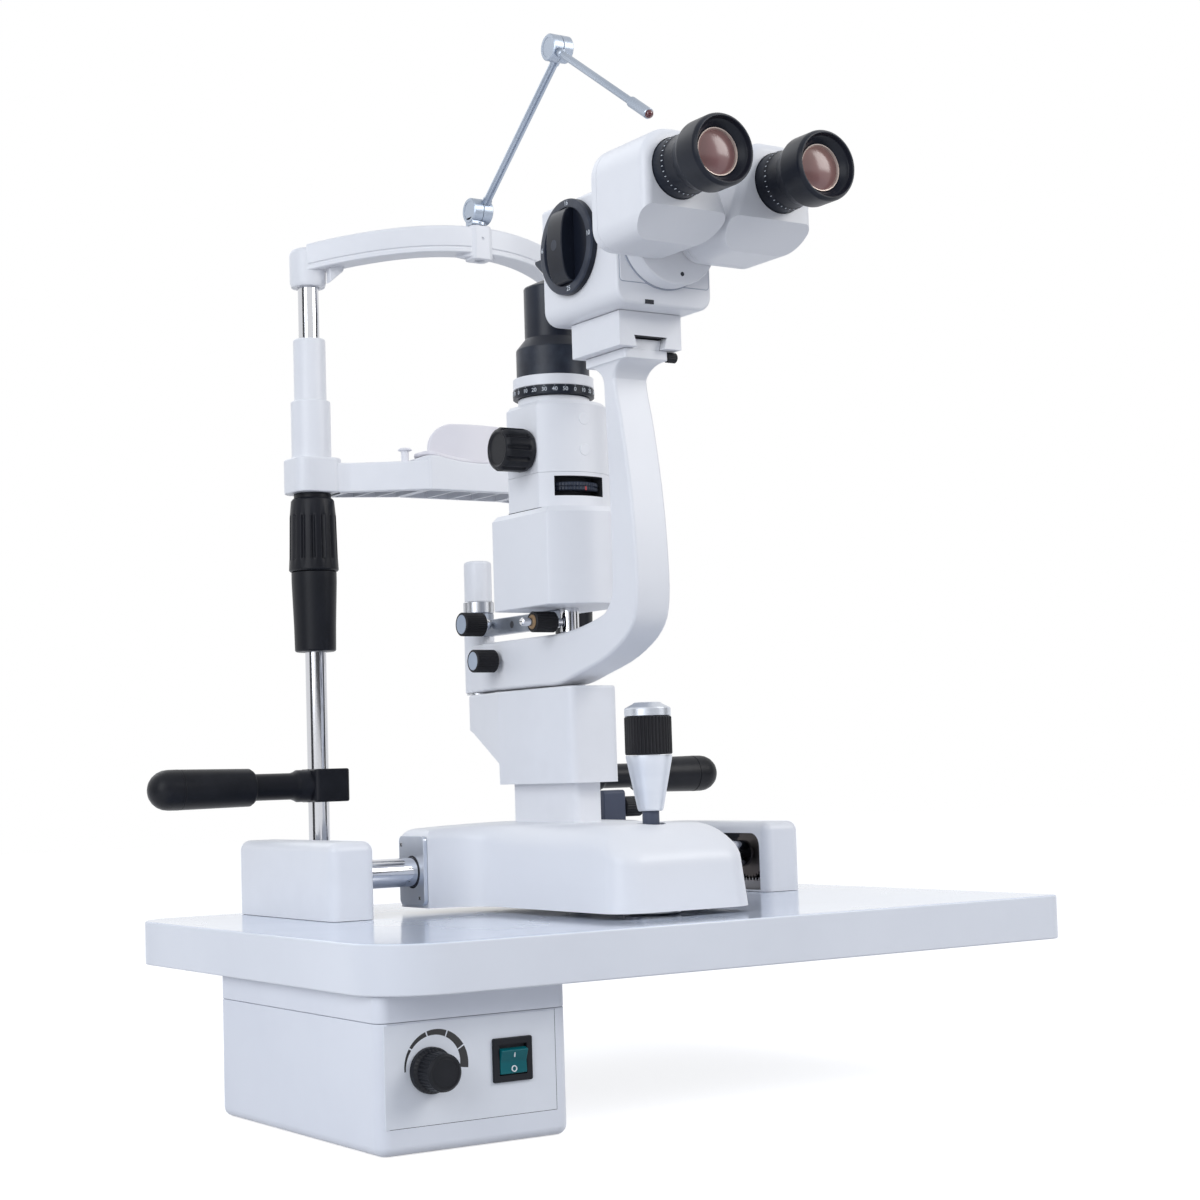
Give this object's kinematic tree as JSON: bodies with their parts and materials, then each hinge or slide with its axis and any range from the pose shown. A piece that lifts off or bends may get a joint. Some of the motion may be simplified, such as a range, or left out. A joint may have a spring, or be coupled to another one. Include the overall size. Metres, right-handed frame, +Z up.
{
  "type": "slit lamp",
  "caption": "Slit lamp on a table board: headrest with chin cup and forehead band, rolling carriage with joystick, swinging microscope and slit illumination tower.",
  "frame": {"origin": "on the table board's underside, at the centre of the seat for the table's lift column", "axes": "+X from the operator's left to right, +Y from the operator towards the patient, +Z up"},
  "size_m": [0.529, 0.492, 0.759],
  "materials": {
    "white_enamel": "white enamel, satin",
    "white_casting": "white enamel on an aluminium casting",
    "white_laminate": "white laminate over a wooden core, glossy",
    "white_plastic": "moulded, fine texture",
    "black_plastic": "black, satin",
    "black_anodised": "black anodised",
    "chrome": "polished",
    "satin_steel": "satin",
    "grey_enamel": "grey enamel, satin",
    "teal_plastic": "teal, glossy, lettered I and O",
    "clear_glass": "clear optical glass"
  },
  "bodies": {
    "stand": {"table_board": "white_laminate", "left_rail_cover": "white_enamel", "right_rail_cover": "white_enamel", "left_rack": "satin_steel", "right_rack": "satin_steel", "headrest_bracket": "satin_steel", "left_post": "chrome", "right_post": "chrome", "left_handle": "black_plastic", "right_handle": "black_plastic", "left_support_sleeve": "black_plastic", "forehead_band": "white_casting", "supply_case": "white_enamel", "supply_lid": "white_enamel", "supply_panel": "grey_enamel", "supply_transformer": "satin_steel", "switch_bezel": "black_plastic"},
    "brightness": {"brightness_knob": "black_plastic"},
    "rocker": {"switch_rocker": "teal_plastic"},
    "chin": {"chin_bar": "white_casting", "chin_cup": "white_plastic", "chin_lift_tube": "satin_steel"},
    "elevation": {"chin_elevation_knob": "black_plastic"},
    "swivel": {"fixation_swivel": "satin_steel"},
    "lower_rod": {"fixation_lower_rod": "satin_steel"},
    "upper_rod": {"fixation_upper_rod": "satin_steel"},
    "axle": {"axle_tube": "chrome"},
    "wheels": {"wheel_set": "satin_steel"},
    "carriage": {"carriage_cover": "white_enamel", "carriage_chassis": "satin_steel", "base_column": "white_casting"},
    "carriage_lock": {"carriage_lock_knob": "black_plastic"},
    "gimbal": {"joystick_liner": "satin_steel"},
    "stick": {"joystick_stem": "satin_steel"},
    "grip": {"joystick_grip": "black_plastic"},
    "head": {"column_head": "white_casting", "pivot_post": "white_enamel"},
    "scope": {"microscope_arm": "white_casting", "scope_mount": "white_casting", "microscope_body": "white_casting", "objective": "clear_glass"},
    "arm_lock": {"arm_lock_knob": "black_plastic"},
    "tail_lock": {"dovetail_lock_knob": "black_plastic"},
    "dial": {"magnification_dial": "black_anodised"},
    "left_prism": {"left_prism_housing": "white_casting"},
    "right_prism": {"right_prism_housing": "white_casting"},
    "left_dioptre": {"left_dioptre_ring": "black_anodised"},
    "right_dioptre": {"right_dioptre_ring": "black_anodised"},
    "lamp_arm": {"illumination_arm": "grey_enamel"},
    "lamp_lock": {"illumination_lock_knob": "black_plastic"},
    "centring": {"centring_knob": "black_plastic"},
    "tower": {"lamp_housing": "white_casting", "slit_body": "white_casting", "mirror_cone": "black_anodised", "bulb": "clear_glass"},
    "slit_scale": {"slit_ring": "black_anodised"},
    "slit_knob": {"slit_width_knob": "black_plastic"},
    "jaw_left": {"slit_jaw_left": "satin_steel"},
    "jaw_right": {"slit_jaw_right": "satin_steel"},
    "filter": {"filter_wheel": "black_anodised"}
  },
  "joints": [
    {"name": "brightness_turn", "type": "hinge", "parent": "stand", "child": "brightness", "pos_m": [-0.2346, -0.17, -0.0446], "axis": [0, 1, 0], "range_deg": [0, 270]},
    {"name": "rocker_tilt", "type": "hinge", "parent": "stand", "child": "rocker", "pos_m": [-0.1793, -0.164, -0.0435], "axis": [1, 0, 0], "range_deg": [0, 16]},
    {"name": "chin_lift", "type": "slide", "parent": "stand", "child": "chin", "axis": [0, 0, 1], "range_m": [0, 0.045]},
    {"name": "elevation_turn", "type": "hinge", "parent": "stand", "child": "elevation", "pos_m": [-0.117, 0.214, 0.284], "axis": [0, 0, 1], "range_deg": [0, 1081]},
    {"name": "fixation_turn", "type": "hinge", "parent": "stand", "child": "swivel", "pos_m": [0, 0.151, 0.563], "axis": [0, 0, 1], "range_deg": [-90, 90]},
    {"name": "fixation_elbow", "type": "hinge", "parent": "swivel", "child": "lower_rod", "pos_m": [0, 0.151, 0.563], "axis": [-1, 0, 0], "range_deg": [-5, 45]},
    {"name": "fixation_wrist", "type": "hinge", "parent": "lower_rod", "child": "upper_rod", "pos_m": [0, 0.0286, 0.657], "axis": [-1, 0, 0], "range_deg": [-35, 50]},
    {"name": "axle_roll", "type": "slide", "parent": "stand", "child": "axle", "axis": [0, 1, 0], "range_m": [-0.01, 0.075]},
    {"name": "wheels_turn", "type": "hinge", "parent": "axle", "child": "wheels", "pos_m": [0, 0.061, 0.059], "axis": [-1, 0, 0], "range_deg": [-32, 228]},
    {"name": "carriage_slide", "type": "slide", "parent": "axle", "child": "carriage", "axis": [1, 0, 0], "range_m": [-0.026, 0.074]},
    {"name": "carriage_lock_turn", "type": "hinge", "parent": "carriage", "child": "carriage_lock", "pos_m": [0.0573, 0.061, 0.0985], "axis": [1, 0, 0], "range_deg": [0, 90]},
    {"name": "joystick_nod", "type": "hinge", "parent": "carriage", "child": "gimbal", "pos_m": [-0.024, -0.0966, 0.08], "axis": [1, 0, 0], "range_deg": [-10, 10]},
    {"name": "joystick_lean", "type": "hinge", "parent": "gimbal", "child": "stick", "pos_m": [-0.024, -0.0966, 0.08], "axis": [0, 1, 0], "range_deg": [-10, 10]},
    {"name": "joystick_turn", "type": "hinge", "parent": "stick", "child": "grip", "pos_m": [-0.024, -0.0966, 0.08], "axis": [0, 0, 1], "range_deg": [-180, 180]},
    {"name": "head_lift", "type": "slide", "parent": "carriage", "child": "head", "axis": [0, 0, 1], "range_m": [-0.014, 0.014]},
    {"name": "scope_swing", "type": "hinge", "parent": "head", "child": "scope", "pos_m": [-0.024, 0.125, 0.1865], "axis": [0, 0, 1], "range_deg": [-45, 45]},
    {"name": "dial_turn", "type": "hinge", "parent": "scope", "child": "dial", "pos_m": [-0.062, -0.0795, 0.478], "axis": [1, 0, 0], "continuous": true},
    {"name": "arm_lock_turn", "type": "hinge", "parent": "scope", "child": "arm_lock", "pos_m": [-0.041, 0.075, 0.2075], "axis": [1, 0, 0], "range_deg": [0, 90]},
    {"name": "tail_lock_turn", "type": "hinge", "parent": "scope", "child": "tail_lock", "pos_m": [-0.0065, -0.1061, 0.4025], "axis": [1, 0, 0], "range_deg": [0, 90]},
    {"name": "left_swing", "type": "hinge", "parent": "scope", "child": "left_prism", "pos_m": [-0.036, -0.1485, 0.476], "axis": [0, 1, 0], "range_deg": [0, 20]},
    {"name": "right_swing", "type": "hinge", "parent": "scope", "child": "right_prism", "pos_m": [-0.012, -0.1485, 0.476], "axis": [0, 1, 0], "range_deg": [-20, 0]},
    {"name": "left_dioptre_turn", "type": "hinge", "parent": "left_prism", "child": "left_dioptre", "pos_m": [-0.064, -0.2, 0.5], "axis": [0, 1, 0], "range_deg": [-180, 180]},
    {"name": "right_dioptre_turn", "type": "hinge", "parent": "right_prism", "child": "right_dioptre", "pos_m": [0.016, -0.2, 0.5], "axis": [0, 1, 0], "range_deg": [-180, 180]},
    {"name": "lamp_swing", "type": "hinge", "parent": "head", "child": "lamp_arm", "pos_m": [-0.024, 0.125, 0.232], "axis": [0, 0, 1], "range_deg": [-60, 60]},
    {"name": "lamp_lock_turn", "type": "hinge", "parent": "lamp_arm", "child": "lamp_lock", "pos_m": [-0.036, 0.0994, 0.236], "axis": [1, 0, 0], "range_deg": [0, 90]},
    {"name": "centring_turn", "type": "hinge", "parent": "lamp_arm", "child": "centring", "pos_m": [-0.037, -0.0027, 0.2304], "axis": [1, 0, 0], "range_deg": [0, 90]},
    {"name": "tower_turn", "type": "hinge", "parent": "lamp_arm", "child": "tower", "pos_m": [-0.024, -0.0027, 0.2403], "axis": [0, 0, 1], "range_deg": [-5, 5]},
    {"name": "slit_turn", "type": "hinge", "parent": "tower", "child": "slit_scale", "pos_m": [-0.024, 0.0096, 0.3904], "axis": [0, 0, 1], "range_deg": [-90, 90]},
    {"name": "slit_width_turn", "type": "hinge", "parent": "tower", "child": "slit_knob", "pos_m": [-0.054, 0, 0.351], "axis": [1, 0, 0], "range_deg": [0, 180]},
    {"name": "left_jaw_slide", "type": "slide", "parent": "tower", "child": "jaw_left", "axis": [-1, 0, 0], "range_m": [0, 0.00701]},
    {"name": "right_jaw_slide", "type": "slide", "parent": "tower", "child": "jaw_right", "axis": [1, 0, 0], "range_m": [0, 0.00701]},
    {"name": "filter_turn", "type": "hinge", "parent": "tower", "child": "filter", "pos_m": [-0.024, -0.006, 0.3212], "axis": [0, 0, 1], "continuous": true}
  ],
  "couplings": [
    {"joint": "elevation_turn", "follows": "chin_lift", "rad_per_m": 418.88},
    {"joint": "wheels_turn", "follows": "axle_roll", "rad_per_m": 52.63},
    {"joint": "joystick_turn", "follows": "head_lift", "rad_per_m": 220},
    {"joint": "right_swing", "follows": "left_swing", "ratio": -1},
    {"joint": "left_jaw_slide", "follows": "slit_width_turn", "m_per_rad": 0.0022282},
    {"joint": "right_jaw_slide", "follows": "slit_width_turn", "m_per_rad": 0.0022282}
  ]
}
